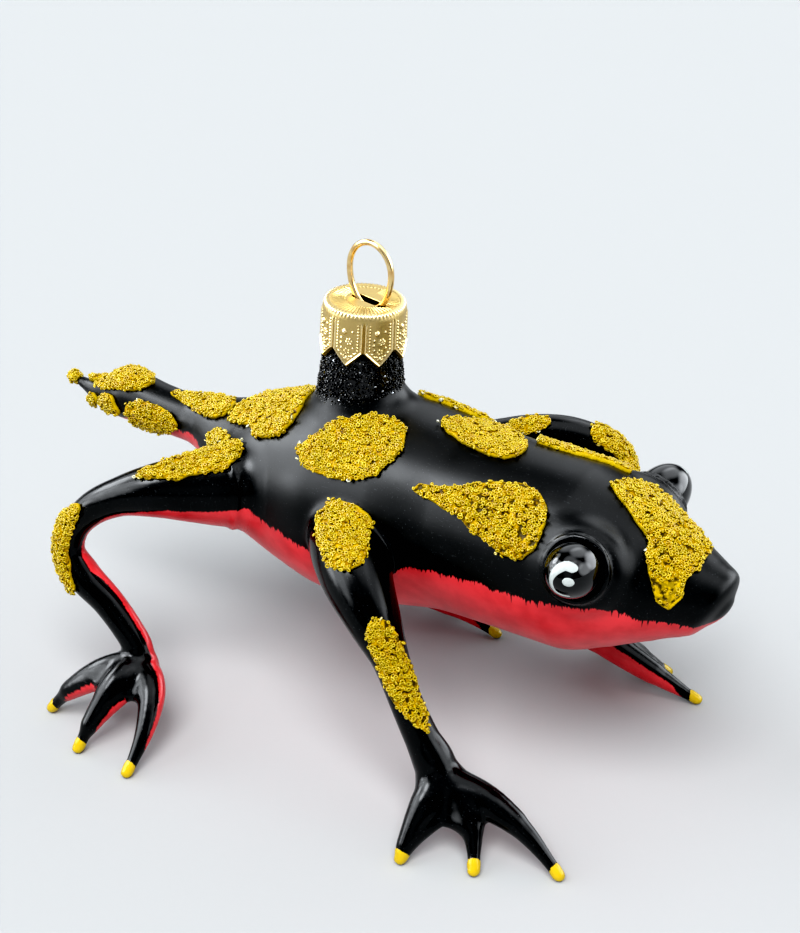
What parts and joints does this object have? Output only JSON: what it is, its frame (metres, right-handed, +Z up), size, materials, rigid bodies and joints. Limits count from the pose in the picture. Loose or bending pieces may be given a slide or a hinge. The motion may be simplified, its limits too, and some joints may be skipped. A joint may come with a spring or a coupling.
{
  "type": "blown-glass salamander ornament",
  "caption": "Mouth-blown glass hanging ornament in the form of a walking salamander, with glued grit patches, a metal cap and a wire hanging ring.",
  "frame": {"origin": "centre of the footprint on the floor plane that the toe tips rest on", "axes": "+X towards the snout, +Y to the animal's left, +Z up"},
  "size_m": [0.1242, 0.0756, 0.0802],
  "materials": {
    "black_glass": "satin-gloss black lacquer on glass, red underside",
    "eye_glass": "high-gloss black glass, painted white comma and dot",
    "grit": "clear glass grit over yellow paint",
    "glitter_glass": "black glass with coarse black glitter",
    "cap_metal": "pale gold, pressed",
    "wire_metal": "bright copper-gold wire"
  },
  "bodies": {
    "root": {"cap": "cap_metal", "eye_left": "eye_glass", "eye_right": "eye_glass", "front_left_foot": "black_glass", "front_left_lower_leg": "black_glass", "front_left_upper_leg": "black_glass", "front_right_foot": "black_glass", "front_right_lower_leg": "black_glass", "front_right_upper_leg": "black_glass", "grit_back_front": "grit", "grit_back_left": "grit", "grit_back_right": "grit", "grit_flank_left": "grit", "grit_flank_right": "grit", "grit_forearm_left": "grit", "grit_forearm_right": "grit", "grit_head": "grit", "grit_head_left": "grit", "grit_knee_left": "grit", "grit_knee_right": "grit", "grit_rump": "grit", "grit_rump_left": "grit", "grit_rump_side": "grit", "grit_shoulder_left": "grit", "grit_shoulder_right": "grit", "grit_tail_band": "grit", "grit_tail_far": "grit", "grit_tail_left": "grit", "grit_tail_right": "grit", "grit_tail_root": "grit", "grit_tail_tip": "grit", "grit_tail_tip_band": "grit", "grit_tail_top": "grit", "grit_thigh_left": "grit", "grit_thigh_right": "grit", "hanging_ring": "wire_metal", "head": "black_glass", "hind_left_foot": "black_glass", "hind_left_lower_leg": "black_glass", "hind_left_upper_leg": "black_glass", "hind_right_foot": "black_glass", "hind_right_lower_leg": "black_glass", "hind_right_upper_leg": "black_glass", "pike": "glitter_glass", "tail": "black_glass", "torso": "black_glass"}
  },
  "joints": []
}
